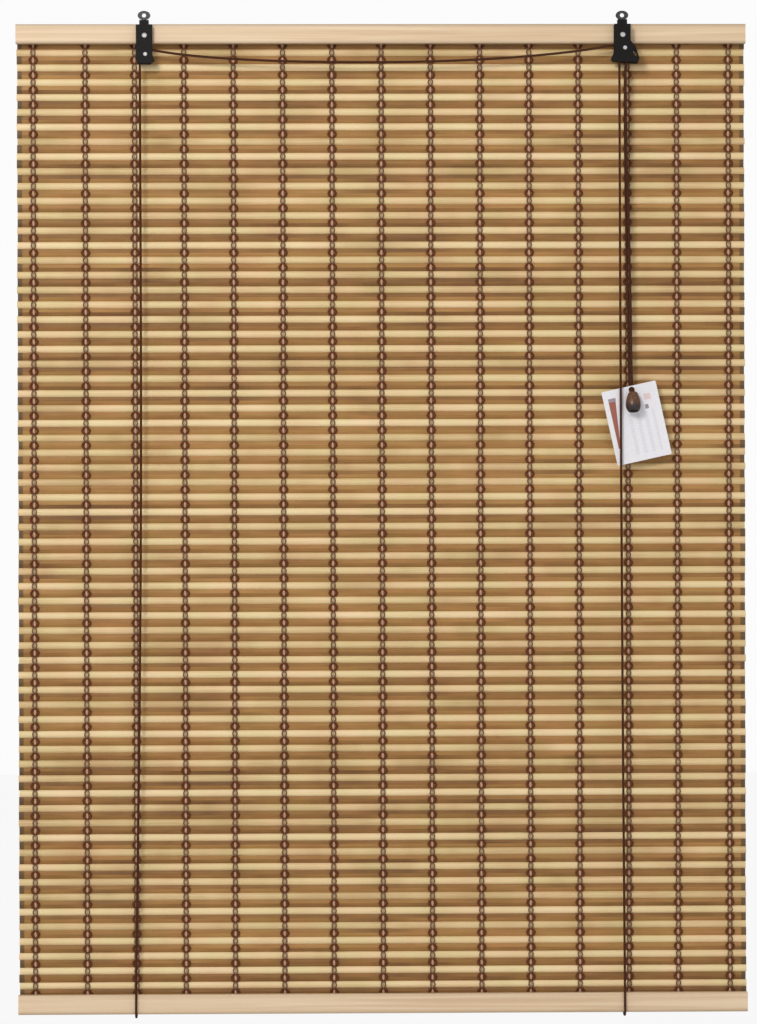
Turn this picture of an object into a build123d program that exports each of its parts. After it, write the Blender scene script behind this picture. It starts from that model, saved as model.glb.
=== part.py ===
from build123d import *

import os
from math import cos, pi, radians, sin, tan

# A bamboo roll-up blind, hung from two eyes. The origin lies on the line through the two eye holes,
# on the blind's middle. X runs to the right, -Y to the room, Z up. All sizes are in millimetres.

# Rails: two straight laths with rounded long edges
blind_width = 900.0
blind_height = 1220.0
rail_height = 24.0
rail_depth = 10.0
rail_edge_radius = 1.5

# Mat: rounded light slats and flat dark slats in turn, flush at the back
slat_pitch = 18.29
light_slat_height = 8.6
light_slat_depth = 4.0
light_slat_bevel_depth = 1.3
light_slat_bevel_height = 2.2
dark_slat_depth = 1.5
slat_gap = 0.6
mat_end_margin = 10.0

# Warp cords: a band with a bead over each dark slat
warp_count = 15
warp_edge_inset = 20.5
warp_edge_gap = 64.1
warp_width = 8.0
warp_bead = 1.8
warp_waist = 0.6
warp_back = 0.8

# Staples that hold the mat to a rail
staple_count = 6
staple_pitch = 152.0
staple_width = 10.0
staple_wire = 1.2
staple_bite = 5.0

# Hanging eyes
eye_width = 15.5
eye_height = 11.2
eye_thickness = 3.0
eye_hole_radius = 2.6
eye_shank_radius = 1.6
eye_rivet_radius = 2.4
eye_rivet_thickness = 1.2
eye_play = 0.1

# Brackets: a steel strap folded over at the neck, with a cheek before and behind the pulley
strap_thickness = 1.2
strap_bend_radius = 1.5
neck_width = 11.5
neck_rise = 4.2
shoulder_drop = 1.5
bracket_width = 20.0
bracket_corner_radius = 1.8
left_bracket_inset = 158.3
right_bracket_inset = 153.1
left_bracket_drop = 50.3
right_bracket_drop = 49.5

# The left bracket's foot: bevelled corners, and a toe on the right
left_foot_bevel = 3.0
left_foot_rise = 6.0
left_toe_reach = 3.0
left_toe_low = 4.5
left_toe_high = 13.0

# The cord lock's bell: a small flare on the left, and a shoulder and a wide flare on the right
lock_left_flare = 3.8
lock_left_flare_high = 13.5
lock_left_flare_low = 5.5
lock_foot_bevel = 2.0
lock_foot_slope = 2.0
lock_shoulder_drop = 24.0
lock_shoulder_ease = 2.5
lock_shoulder_reach = 1.5
lock_hip_reach = 5.2
lock_hip_drop = 3.5
lock_right_flare = 10.9
lock_right_flare_low = 6.0

# Screws and their spacer tubes
screw_radius = 1.75
screw_head_radius = 3.1
screw_head_height = 2.0
screw_head_flat_radius = 1.9
screw_head_edge = 0.8
screw_recess_width = 0.9
screw_recess_depth = 1.0
screw_tip_length = 3.0
screw_end_wall = 1.0
screw_drop = 14.8
left_screw_offset = 0.5
right_screw_offset = 0.4
spacer_radius = 3.0

# Pulleys, axles and the cord lock's roller
pulley_width = 4.6
pulley_rim_radius = 7.7
groove_floor_width = 2.0
cord_seat_radius = 6.9
cord_seat_clearance = 0.6
axle_radius = 1.5
axle_head_radius = 2.4
axle_head_height = 1.1
axle_head_flat_radius = 1.4
axle_head_edge = 0.3
running_clearance = 0.05
side_clearance = 0.3
pulley_spacing = 0.4
left_axle_drop = 37.8
left_axle_offset = 1.4
lock_axle_drop = 30.8
lock_axle_offset = 3.2
roller_radius = 3.0
roller_ridges = 12
roller_ridge_depth = 0.4
roller_pin_radius = 1.25
roller_pinch_angle = -20.0
roller_slot_angle = -68.0
roller_travel = 5.5
roller_end_play = 0.1
roller_cord_clearance = 0.3

# Cords, their end knots and staples
cord_diameter = 3.0
cord_sides = 6
knot_radius = 4.0
knot_height = 8.0
knot_low_radius = 3.0
knot_top_radius = 2.4
knot_ease = 2.4
knot_seat = 0.02
cord_staple_clearance = 0.3

# Pull knob and hang tag
knob_height = 24.0
knob_top_radius = 5.4
knob_shoulder_radius = 7.9
knob_shoulder_depth = 6.2
knob_radius = 9.25
knob_belly_depth = 15.8
knob_foot_radius = 8.3
knob_foot_depth = 21.1
knob_end_radius = 6.7
knob_bore_radius = 4.0
knob_cavity_radius = 5.6
knob_cavity_depth = 13.0
knob_tilt = 15.0
pull_knot_radius = 5.0
pull_knot_height = 9.0
pull_knot_end_radius = 3.0
pull_knot_ease = 3.6
tag_width = 68.5
tag_height = 93.0
tag_thickness = 0.5
tag_corner_radius = 1.5
tag_hole_radius = 3.9
tag_tilt = 12.5
tag_front = 1.5

# Heights
bridge_top = -eye_height / 2 - eye_play
rail_top = bridge_top - neck_rise
rail_low = rail_top - rail_height
foot_low = rail_top - blind_height
foot_top = foot_low + rail_height
middle = rail_top - blind_height / 2
slat_pairs = int((blind_height - 2 * mat_end_margin - light_slat_height) // slat_pitch)
mat_height = slat_pairs * slat_pitch + light_slat_height
mat_top = middle + mat_height / 2
mat_low = middle - mat_height / 2

# Depths, from the room to the wall
cheek_inner = pulley_width / 2 + side_clearance
rail_front = cheek_inner + strap_thickness
rail_back = rail_front + rail_depth
mat_front = rail_back + warp_bead
mat_back = mat_front + light_slat_depth
front_wheel = -(pulley_width + pulley_spacing)
left_front = -cheek_inner - strap_thickness
lock_front = front_wheel - cheek_inner - strap_thickness

# Places along the blind
half_width = blind_width / 2
left_x = -half_width + left_bracket_inset
right_x = half_width - right_bracket_inset
left_axle_x = left_x + left_axle_offset
left_axle_z = rail_top - left_axle_drop
lock_axle_x = right_x + lock_axle_offset
lock_axle_z = rail_top - lock_axle_drop
first_inner_warp = -half_width + warp_edge_inset + warp_edge_gap
warp_pitch = -2 * first_inner_warp / (warp_count - 3)
warp_places = [-half_width + warp_edge_inset]
for number in range(warp_count - 2):
    warp_places.append(first_inner_warp + number * warp_pitch)
warp_places.append(half_width - warp_edge_inset)

# Roller places: low in its slot at rest, and pinched between the slot's top and the cords
roller_reach = cord_seat_radius + cord_diameter / 2 + roller_cord_clearance + roller_radius
roller_top_x = lock_axle_x + roller_reach * cos(radians(roller_pinch_angle))
roller_top_z = lock_axle_z + roller_reach * sin(radians(roller_pinch_angle))
roller_x = roller_top_x + roller_travel * cos(radians(roller_slot_angle))
roller_z = roller_top_z + roller_travel * sin(radians(roller_slot_angle))
roller_slot_width = 2 * (roller_pin_radius + running_clearance)


# Head rail and bottom rail
def lath(low_z, screw_places=()):
    """A straight lath across the blind, with its foot at low_z, drilled for screws in its front."""
    with BuildPart() as rail:
        with BuildSketch(Plane.YZ) as section:
            with Locations((rail_front + rail_depth / 2, low_z + rail_height / 2)):
                RectangleRounded(rail_depth, rail_height, rail_edge_radius)
        extrude(amount=half_width, both=True)
        for place in screw_places:
            with BuildSketch(Plane.XZ.offset(-rail_front)) as pilot:
                with Locations(place):
                    Circle(screw_radius)
            extrude(amount=screw_end_wall - rail_depth, mode=Mode.SUBTRACT)
    return rail


left_screw_place = (left_x + left_screw_offset, rail_top - screw_drop)
right_screw_place = (right_x + right_screw_offset, rail_top - screw_drop)
head_rail = lath(rail_low, [left_screw_place, right_screw_place])
bottom_rail = lath(foot_low)


# Mat: the slats' own profile along the whole width, slit between each pair of slats
def slat_profile():
    """Draws the mat's section on the open line: down the front from slat to slat, and up the back."""
    shoulder = mat_front + light_slat_bevel_depth
    points = [(mat_back, mat_top)]
    for number in range(slat_pairs + 1):
        top = mat_top - number * slat_pitch
        low = top - light_slat_height
        points.append((shoulder, top))
        points.append((mat_front, top - light_slat_bevel_height))
        points.append((mat_front, low + light_slat_bevel_height))
        points.append((shoulder, low))
        if number < slat_pairs:
            points.append((mat_back - dark_slat_depth, low))
            points.append((mat_back - dark_slat_depth, top - slat_pitch))
    Polyline(*points, (mat_back, mat_low), close=True)


slit_ends = half_width - warp_edge_inset - warp_width / 4
with BuildPart() as bamboo_mat:
    with BuildSketch(Plane.YZ) as slats:
        with BuildLine():
            slat_profile()
        make_face()
    extrude(amount=half_width, both=True)
    with BuildSketch(Plane.XZ.offset(-mat_back)) as slits:
        for number in range(1, slat_pairs):
            slit_top = mat_top - number * slat_pitch - light_slat_height
            with Locations((0, slit_top - slat_gap / 2)):
                Rectangle(2 * slit_ends, slat_gap)
    extrude(amount=light_slat_depth, mode=Mode.SUBTRACT)


# Warp cords: a closed band round the mat, with a pointed bead over each dark slat
with BuildPart() as warp_pattern:
    with BuildSketch(Plane.YZ) as band:
        with Locations(((mat_front - warp_waist + mat_back + warp_back) / 2, middle)):
            Rectangle(warp_waist + light_slat_depth + warp_back, mat_height + 2 * warp_back)
        with Locations(((mat_front + mat_back) / 2, middle)):
            Rectangle(light_slat_depth, mat_height, mode=Mode.SUBTRACT)
    extrude(amount=warp_width / 2, both=True)
    for number in range(slat_pairs):
        bead_z = mat_top - light_slat_height / 2 - (number + 0.5) * slat_pitch
        with BuildSketch(Plane.XZ.offset(warp_waist - mat_front)) as bead_foot:
            with Locations((0, bead_z)):
                Rectangle(warp_width, slat_pitch)
        loft(sections=[bead_foot.sketch, Vertex(0, mat_front - warp_bead, bead_z)])

warps = []
for warp_x in warp_places:
    with BuildPart() as warp:
        with Locations((warp_x, 0, 0)):
            add(warp_pattern.part)
    warps.append(warp)


# Staples: a crown behind the mat and two legs that bite into the rail
def staple_row(places, z, crown_y, width):
    """Wire staples at these places, driven forward into a rail at height z."""
    leg_length = crown_y - (rail_back - staple_bite)
    with BuildPart() as row:
        for x in places:
            with BuildSketch(Plane.XY.offset(z)) as outline:
                with Locations((x, crown_y + staple_wire / 2)):
                    Rectangle(width, staple_wire)
                with Locations(
                    (x - (width - staple_wire) / 2, crown_y - leg_length / 2),
                    (x + (width - staple_wire) / 2, crown_y - leg_length / 2),
                ):
                    Rectangle(staple_wire, leg_length)
            extrude(amount=staple_wire / 2, both=True)
    return row


staple_places = [(number - (staple_count - 1) / 2) * staple_pitch for number in range(staple_count)]
staple_drop = light_slat_height / 2
head_staples = staple_row(staple_places, mat_top - staple_drop, mat_back, staple_width)
bottom_staples = staple_row(staple_places, mat_low + staple_drop, mat_back, staple_width)


# Hanging eyes: a flat eye on a shank that turns in the bracket's neck
def hanging_eye(x):
    """A flat oval eye with a round hole, its shank and the shank's riveted end."""
    bridge_low = bridge_top - strap_thickness
    with BuildPart() as eye:
        with BuildSketch(Plane.XZ) as face:
            with Locations((x, 0)):
                Ellipse(eye_width / 2, eye_height / 2)
        extrude(amount=eye_thickness / 2, both=True)
        with BuildSketch(Plane.XZ) as hole:
            with Locations((x, 0)):
                Circle(eye_hole_radius)
        extrude(amount=eye_thickness, both=True, mode=Mode.SUBTRACT)
        with BuildSketch(Plane.XY.offset(bridge_low - eye_play - eye_rivet_thickness)) as rivet:
            with Locations((x, 0)):
                Circle(eye_rivet_radius)
        extrude(amount=eye_rivet_thickness)
        with BuildSketch(Plane.XY.offset(bridge_low - eye_play)) as shank:
            with Locations((x, 0)):
                Circle(eye_shank_radius)
        extrude(amount=eye_play + strap_thickness + eye_play + (eye_height / 2 - eye_hole_radius) / 2)
    return eye


left_eye = hanging_eye(left_x)
right_eye = hanging_eye(right_x)


# Brackets
def outline_left():
    """The left bracket's front outline from the neck round, as points beside its middle."""
    half, neck = bracket_width / 2, neck_width / 2
    low = -left_bracket_drop
    return [
        (-neck, neck_rise),
        (-neck, -shoulder_drop),
        (-half, -shoulder_drop),
        (-half, low + left_foot_rise),
        (-half + left_foot_bevel, low),
        (half - left_foot_bevel, low),
        (half + left_toe_reach, low + left_toe_low),
        (half, low + left_toe_high),
        (half, -shoulder_drop),
        (neck, -shoulder_drop),
        (neck, neck_rise),
    ]


def outline_lock():
    """The cord lock's front outline: straight above, and a bell round the roller below."""
    half, neck = bracket_width / 2, neck_width / 2
    low = -right_bracket_drop
    return [
        (-neck, neck_rise),
        (-neck, -shoulder_drop),
        (-half, -shoulder_drop),
        (-half, low + lock_left_flare_high),
        (-half - lock_left_flare, low + lock_left_flare_low),
        (-half - lock_left_flare + lock_foot_bevel, low + lock_foot_slope),
        (half + lock_right_flare - lock_foot_bevel, low),
        (half + lock_right_flare, low + lock_right_flare_low),
        (half + lock_hip_reach, -lock_shoulder_drop - lock_hip_drop),
        (half + lock_shoulder_reach, -lock_shoulder_drop),
        (half, -lock_shoulder_drop + lock_shoulder_ease),
        (half, -shoulder_drop),
        (neck, -shoulder_drop),
        (neck, neck_rise),
    ]


def folded_bracket(x, points, front, axle, screw, slots=()):
    """A strap from the front cheek over the neck to the back cheek, with its holes and slots."""
    drop = -min(z for _, z in points)
    strap_height = drop + neck_rise
    depth = rail_front - front
    with BuildPart() as bracket:
        with BuildSketch(Plane.YZ.offset(x)) as fold:
            with Locations(((rail_front + front) / 2, bridge_top - strap_height / 2)):
                Rectangle(depth, strap_height)
            fillet(fold.vertices().group_by(Axis.Z)[-1], strap_bend_radius)
            with Locations(((rail_front + front) / 2, bridge_top - strap_thickness - strap_height / 2)):
                Rectangle(depth - 2 * strap_thickness, strap_height, mode=Mode.SUBTRACT)
        extrude(amount=2 * bracket_width, both=True)
        with BuildSketch(Plane.XZ) as face:
            with BuildLine():
                Polyline([(x + across, rail_top + up) for across, up in points], close=True)
            make_face()
            corners = face.vertices().filter_by(lambda v: v.Z < rail_top - drop / 2)
            fillet(corners, bracket_corner_radius)
        extrude(amount=2 * depth, both=True, mode=Mode.INTERSECT)
        with BuildSketch(Plane.XZ) as axle_hole:
            with Locations(axle):
                Circle(axle_radius)
        extrude(amount=2 * depth, both=True, mode=Mode.SUBTRACT)
        with BuildSketch(Plane.XZ) as screw_hole:
            with Locations(screw):
                Circle(screw_radius)
        extrude(amount=2 * depth, both=True, mode=Mode.SUBTRACT)
        with BuildSketch(Plane.XY.offset(bridge_top)) as eye_hole:
            with Locations((x, 0)):
                Circle(eye_shank_radius + running_clearance)
        extrude(amount=-2 * strap_thickness, mode=Mode.SUBTRACT)
        for slot in slots:
            with BuildSketch(Plane.XZ) as roller_slot:
                with Locations(slot):
                    SlotCenterToCenter(roller_travel, roller_slot_width, rotation=roller_slot_angle)
            extrude(amount=2 * depth, both=True, mode=Mode.SUBTRACT)
    return bracket


left_axle_place = (left_axle_x, left_axle_z)
lock_axle_place = (lock_axle_x, lock_axle_z)
slot_place = ((roller_x + roller_top_x) / 2, (roller_z + roller_top_z) / 2)
left_bracket = folded_bracket(left_x, outline_left(), left_front, left_axle_place, left_screw_place)
lock_housing = folded_bracket(
    right_x, outline_lock(), lock_front, lock_axle_place, right_screw_place, [slot_place]
)


# Screws and spacer tubes, one of each for each bracket
bracket_fronts = [left_front, lock_front]
screw_tip = rail_back - screw_end_wall
with BuildPart() as bracket_screws:
    for (x, z), front in zip([left_screw_place, right_screw_place], bracket_fronts):
        with BuildSketch(Plane.XY.offset(z)) as half_section:
            with BuildLine():
                Polyline(
                    (x, front - screw_head_height),
                    (x + screw_head_flat_radius, front - screw_head_height),
                    (x + screw_head_radius, front - screw_head_edge),
                    (x + screw_head_radius, front),
                    (x + screw_radius, front),
                    (x + screw_radius, screw_tip - screw_tip_length),
                    (x, screw_tip),
                    close=True,
                )
            make_face()
        revolve(axis=Axis((x, 0, z), (0, 1, 0)))
        with BuildSketch(Plane.XZ.offset(screw_head_height - front)) as recess:
            with Locations((x, z)):
                Rectangle(screw_head_radius, screw_recess_width)
                Rectangle(screw_recess_width, screw_head_radius)
        extrude(amount=-screw_recess_depth, mode=Mode.SUBTRACT)
with BuildPart() as spacer_tubes:
    for place, front in zip([left_screw_place, right_screw_place], bracket_fronts):
        with BuildSketch(Plane.XZ.offset(-front - strap_thickness)) as ring:
            with Locations(place):
                Circle(spacer_radius)
                Circle(screw_radius, mode=Mode.SUBTRACT)
        extrude(amount=front + 2 * strap_thickness - rail_front)

# Axle rivets through both cheeks, headed before and behind
with BuildPart() as axle_rivets:
    for (x, z), front in zip([left_axle_place, lock_axle_place], bracket_fronts):
        with BuildSketch(Plane.XY.offset(z)) as half_section:
            with BuildLine():
                Polyline(
                    (x, front - axle_head_height),
                    (x + axle_head_flat_radius, front - axle_head_height),
                    (x + axle_head_radius, front - axle_head_edge),
                    (x + axle_head_radius, front),
                    (x + axle_radius, front),
                    (x + axle_radius, rail_front),
                    (x + axle_head_radius, rail_front),
                    (x + axle_head_flat_radius, rail_front + axle_head_height),
                    (x, rail_front + axle_head_height),
                    close=True,
                )
            make_face()
        revolve(axis=Axis((x, 0, z), (0, 1, 0)))


# Pulleys
def pulley(x, y, z):
    """A grooved wheel whose middle lies at x, y, z."""
    floor_radius = cord_seat_radius - cord_diameter / 2 - cord_seat_clearance
    bore_radius = axle_radius + running_clearance
    half = pulley_width / 2
    with BuildPart() as wheel:
        with BuildSketch(Plane.XY.offset(z)) as half_section:
            with BuildLine():
                Polyline(
                    (x + bore_radius, y - half),
                    (x + pulley_rim_radius, y - half),
                    (x + floor_radius, y - groove_floor_width / 2),
                    (x + floor_radius, y + groove_floor_width / 2),
                    (x + pulley_rim_radius, y + half),
                    (x + bore_radius, y + half),
                    close=True,
                )
            make_face()
        revolve(axis=Axis((x, 0, z), (0, 1, 0)))
    return wheel


left_pulley = pulley(left_axle_x, 0, left_axle_z)
lock_pulley_rear = pulley(lock_axle_x, 0, lock_axle_z)
lock_pulley_front = pulley(lock_axle_x, front_wheel, lock_axle_z)

# Cord lock roller: ridged between the cheeks, with a plain pin in each slot
roller_length = -front_wheel + 2 * cheek_inner - 2 * side_clearance
with BuildPart() as lock_roller:
    with BuildSketch(Plane.XZ.offset(-(cheek_inner - side_clearance))) as flutes:
        with BuildLine():
            ridges = []
            for number in range(2 * roller_ridges):
                reach = roller_radius - (number % 2) * roller_ridge_depth
                turn = number * pi / roller_ridges
                ridges.append((roller_x + reach * cos(turn), roller_z + reach * sin(turn)))
            Polyline(*ridges, close=True)
        make_face()
    extrude(amount=roller_length)
    with BuildSketch(Plane.XZ.offset(-(rail_front - roller_end_play))) as pin:
        with Locations((roller_x, roller_z)):
            Circle(roller_pin_radius)
    extrude(amount=rail_front - lock_front - 2 * roller_end_play)

# Cord routes, from the back of the head rail to the knob, as points chosen along the cord
left_back = [(-296.2, 22.4, -18.9), (-304.9, 22.5, -1220.0)]
left_foot = [
    (-304.9, 20.4, -1226.6),
    (-304.9, 15.8, -1231.4),
    (-304.9, 10.2, -1233.5),
    (-304.9, 4.8, -1233.5),
    (-304.9, 0.9, -1230.6),
    (-304.9, -0.6, -1225.4),
    (-304.8, 1.4, -1206.0),
]
left_front_run = [(-303.0, 1.2, -1070.0), (-299.2, 0.8, -841.0), (-296.4, 0.3, -520.0)]
left_wheel = [(-297.1, 0.0, -44.3), (-291.7, 0.0, -40.2)]
crossing = [
    (-272.0, 0.0, -44.4),
    (-240.0, 0.0, -48.8),
    (-190.0, 0.0, -53.2),
    (-130.0, 0.0, -56.0),
    (-70.0, 0.0, -57.4),
    (-10.0, 0.0, -57.7),
    (50.0, 0.0, -57.0),
    (110.0, 0.0, -55.0),
    (165.0, 0.0, -51.6),
    (215.0, 0.0, -47.2),
    (253.0, 0.0, -42.6),
    (278.5, 0.0, -38.0),
]
lock_rear_wheel = [(300.96, 0.0, -33.4), (305.6, 0.0, -35.8), (307.5, 0.0, -40.6)]
pull_left = [
    (300.6, 0.0, -59.4),
    (300.4, 0.3, -95.0),
    (300.5, 1.1, -145.0),
    (301.0, 2.1, -205.0),
    (302.0, 3.0, -265.0),
    (303.1, 3.7, -325.0),
    (304.0, 4.2, -380.0),
    (304.6, 4.4, -420.0),
    (305.0, 4.3, -441.0),
    (305.4, 4.2, -451.5),
    (306.0, 3.6, -459.0),
    (306.6, 1.2, -462.7),
    (307.1, -2.9, -463.9),
    (307.45, -5.1, -467.7),
]
right_back = [(292.3, 22.4, -18.9), (297.8, 22.5, -1220.0)]
right_foot = [
    (297.8, 20.4, -1226.6),
    (297.8, 15.8, -1231.4),
    (297.8, 10.2, -1233.5),
    (297.8, 4.8, -1233.5),
    (297.8, 0.9, -1230.6),
    (297.8, -0.6, -1225.4),
    (297.8, 1.4, -1206.0),
]
right_front_run = [(295.9, -0.2, -900.0), (293.8, -2.9, -420.0), (293.3, -4.9, -78.0)]
lock_front_wheel = [
    (293.2, -5.0, -38.2),
    (296.4, -5.0, -34.3),
    (301.4, -5.0, -33.5),
    (305.7, -5.0, -36.0),
    (307.4, -5.0, -40.7),
]
pull_right = [
    (300.6, -5.0, -59.5),
    (300.9, -4.3, -95.0),
    (301.6, -3.1, -145.0),
    (302.9, -1.5, -205.0),
    (304.6, 0.0, -265.0),
    (306.2, 1.7, -325.0),
    (307.3, 3.2, -380.0),
    (307.8, 4.0, -420.0),
    (308.2, 4.3, -441.0),
    (308.6, 4.2, -451.5),
    (309.2, 3.6, -459.0),
    (309.75, 1.2, -462.7),
    (310.25, -2.9, -463.9),
    (310.55, -5.1, -467.7),
]

# Pull knob: its axis leans back against the tag, and the cords enter at its top
knob_top = Vector(309.0, -4.8, -465.1)
knob_up = Vector(0, sin(radians(knob_tilt)), cos(radians(knob_tilt)))
knob_plane = Plane(origin=knob_top, x_dir=(1, 0, 0), z_dir=Vector(1, 0, 0).cross(knob_up))
knob_axis = Axis(knob_top, knob_up)
bore_length = knob_height - knob_cavity_depth
with BuildPart() as pull_knob:
    with BuildSketch(knob_plane) as half_section:
        with BuildLine():
            Polyline(
                (knob_bore_radius, 0),
                (knob_top_radius, 0),
                (knob_shoulder_radius, -knob_shoulder_depth),
                (knob_radius, -knob_belly_depth),
                (knob_foot_radius, -knob_foot_depth),
                (knob_end_radius, -knob_height),
                (knob_cavity_radius, -knob_height),
                (knob_cavity_radius, -bore_length),
                (knob_bore_radius, -bore_length),
                close=True,
            )
        make_face()
    revolve(axis=knob_axis)
with BuildPart() as pull_knot:
    with BuildSketch(knob_plane) as half_section:
        with BuildLine():
            Polyline(
                (0, -bore_length),
                (pull_knot_radius, -bore_length),
                (pull_knot_radius, -bore_length - pull_knot_height + pull_knot_ease),
                (pull_knot_end_radius, -bore_length - pull_knot_height),
                (0, -bore_length - pull_knot_height),
                close=True,
            )
        make_face()
    revolve(axis=knob_axis)


def in_knob(side):
    """Where a cord's end meets the knot in the knob."""
    across = side * (cord_diameter / 2 + running_clearance)
    return tuple(knob_plane.from_local_coords((across, -bore_length, 0)))


def cord_tube(points, name):
    """A plain cord along straight runs joined by arcs, each as large as its two runs allow."""
    path_points = [Vector(*point) for point in points]
    radii = []
    for before, here, after in zip(path_points, path_points[1:], path_points[2:]):
        turn = (here - before).get_angle(after - here)
        shorter = min((here - before).length, (after - here).length)
        radii.append(0.45 * shorter / tan(radians(turn) / 2))
    with BuildPart() as cord:
        with BuildLine():
            route = FilletPolyline(*path_points, radius=radii)
        with BuildSketch(Plane(origin=route @ 0, z_dir=route % 0)) as section:
            RegularPolygon(cord_diameter / 2, cord_sides)
        sweep(path=route)
    length = route.length
    ratio = cord.part.volume / (length * section.sketch.area)
    print(name, "length", round(length, 1), "volume ratio", round(ratio, 4))
    print("radii", *[round(radius, 1) for radius in radii])
    return cord


left_route = left_back + left_foot + left_front_run + left_wheel + crossing + lock_rear_wheel
left_route = left_route + pull_left + [in_knob(-1)]
right_route = right_back + right_foot + right_front_run + lock_front_wheel + pull_right + [in_knob(1)]
left_cord = cord_tube(left_route, "left cord")
right_cord = cord_tube(right_route, "right cord")


# End knots at the back of the head rail, and the staples that the cords pass under
with BuildPart() as end_knots:
    for x, y, cord_end in (left_back[0], right_back[0]):
        low = cord_end + knot_seat
        with BuildSketch(Plane.XZ.offset(-y)) as half_section:
            with BuildLine():
                Polyline(
                    (x, low),
                    (x + knot_low_radius, low),
                    (x + knot_radius, low + knot_ease),
                    (x + knot_radius, low + knot_height - knot_ease),
                    (x + knot_top_radius, low + knot_height),
                    (x, low + knot_height),
                    close=True,
                )
            make_face()
        revolve(axis=Axis((x, y, 0), (0, 0, 1)))
cord_crown = left_back[0][1] + cord_diameter / 2 + cord_staple_clearance
cord_staple_z = left_back[0][2] - cord_staple_clearance - staple_wire / 2
cord_staple_width = cord_diameter + 2 * (cord_staple_clearance + staple_wire)
cord_staples = staple_row([left_back[0][0], right_back[0][0]], cord_staple_z, cord_crown, cord_staple_width)

# Hang tag: a card whose hole is threaded on the pull cords, turned in its own plane
tag_x, tag_z = 313.9, -502.8
tag_hole = (308.0, -461.8)
with BuildPart() as hang_tag:
    with BuildSketch(Plane.XZ.offset(-tag_front)) as card:
        with Locations(Location((tag_x, tag_z), tag_tilt)):
            RectangleRounded(tag_width, tag_height, tag_corner_radius)
        with Locations(tag_hole):
            Circle(tag_hole_radius, mode=Mode.SUBTRACT)
    extrude(amount=-tag_thickness)

pieces = {
    "head_rail": head_rail,
    "bottom_rail": bottom_rail,
    "bamboo_mat": bamboo_mat,
    "head_staples": head_staples,
    "bottom_staples": bottom_staples,
    "left_bracket": left_bracket,
    "lock_housing": lock_housing,
    "left_eye": left_eye,
    "right_eye": right_eye,
    "bracket_screws": bracket_screws,
    "spacer_tubes": spacer_tubes,
    "axle_rivets": axle_rivets,
    "left_pulley": left_pulley,
    "lock_pulley_rear": lock_pulley_rear,
    "lock_pulley_front": lock_pulley_front,
    "lock_roller": lock_roller,
    "left_cord": left_cord,
    "right_cord": right_cord,
    "end_knots": end_knots,
    "cord_staples": cord_staples,
    "pull_knob": pull_knob,
    "pull_knot": pull_knot,
    "hang_tag": hang_tag,
}
for number, warp in enumerate(warps, start=1):
    pieces[f"warp_{number:02d}"] = warp

os.makedirs("parts", exist_ok=True)
for node, piece in pieces.items():
    piece.part.label = node
    export_step(piece.part, f"parts/{node}.step")
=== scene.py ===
"""A bamboo roll-up blind: finishes, cords, and the slats, yarns and card that its mat and tag show."""

import math

import bmesh
import bpy
from mathutils import Matrix, Vector


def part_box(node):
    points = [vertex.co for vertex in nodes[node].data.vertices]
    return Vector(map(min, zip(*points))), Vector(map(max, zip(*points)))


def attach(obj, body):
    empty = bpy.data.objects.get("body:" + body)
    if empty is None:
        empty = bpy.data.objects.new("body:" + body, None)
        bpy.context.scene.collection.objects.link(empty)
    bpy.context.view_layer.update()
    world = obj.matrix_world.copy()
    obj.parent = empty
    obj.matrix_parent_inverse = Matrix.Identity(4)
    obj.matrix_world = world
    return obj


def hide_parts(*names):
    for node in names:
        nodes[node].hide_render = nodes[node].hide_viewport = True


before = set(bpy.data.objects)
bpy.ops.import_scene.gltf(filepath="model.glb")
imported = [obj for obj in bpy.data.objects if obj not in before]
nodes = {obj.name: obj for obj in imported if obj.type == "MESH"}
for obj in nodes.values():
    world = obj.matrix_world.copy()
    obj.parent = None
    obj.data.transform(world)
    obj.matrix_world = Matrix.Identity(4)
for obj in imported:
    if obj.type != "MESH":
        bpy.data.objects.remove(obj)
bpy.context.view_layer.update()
MM = 0.001

# The mat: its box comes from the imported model, and the slats' sizes are real ones
mat_low, mat_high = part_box("bamboo_mat")
slat_pitch = 18.29 * MM
slat_length = 898.8 * MM
slat_segments = 36
light_height = 8.6 * MM
light_depth = 4.0 * MM
light_edge_depth = 2.0 * MM
light_count = round((mat_high.z - mat_low.z - light_height) / slat_pitch) + 1
first_light = mat_high.z - light_height / 2

# Neighbouring slats overlap by this much, so that no light shows between them
slat_overlap = 0.2 * MM
dark_height = slat_pitch - light_height + 2 * slat_overlap
dark_depth = 1.5 * MM

# Eased edges of the slats, and how full the light slat's front is
light_back_ease, light_front_ease = 0.4 * MM, 0.5 * MM
light_fullness = 2.4
light_front_steps = 8
dark_ease = 0.35 * MM

# How the slats stray: along X, turned about their length in radians, and bowed up and down
slat_shift = 0.6 * MM
light_tilt, dark_tilt = 0.05, 0.02
light_bow, dark_bow = 0.6 * MM, 0.3 * MM
light_seed, dark_seed = 3, 8

# How fast a slat's bow changes along it, and how far it changes from row to row
bow_per_metre, bow_per_row = 2.5, 1.7

# Warp cords: two yarns that cross between the slats, and a pale core behind them
warp_height = mat_high.z - mat_low.z + 1.6 * MM
warp_depth = 5.4 * MM
warp_corner_radius, warp_corner_points = 0.4 * warp_depth, 3
warp_reach_dark, warp_reach_light = 4.5 * MM, 2.5 * MM
warp_fullness = 0.6
warp_sink = 1.9 * MM
core_sink = 0.7 * MM
warp_weave = 0.5 * MM
yarn_radius_dark, yarn_radius_light = 1.4 * MM, 0.95 * MM
core_radius_dark, core_radius_light = 1.9 * MM, 0.8 * MM
yarn_steps, core_steps = 13, 5
yarn_sides, core_sides = 6, 5

# Where the strands swell, on a wave that is 1 over a dark slat and -1 over a light one
yarn_swell, core_swell = (-0.3, 0.3), (0.1, 0.95)

# How far a strand strays from side to side, and how fast that changes from cord to cord and down a cord
warp_stray = 1.2 * MM
stray_across, stray_down = 90.0, 70.0

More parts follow.
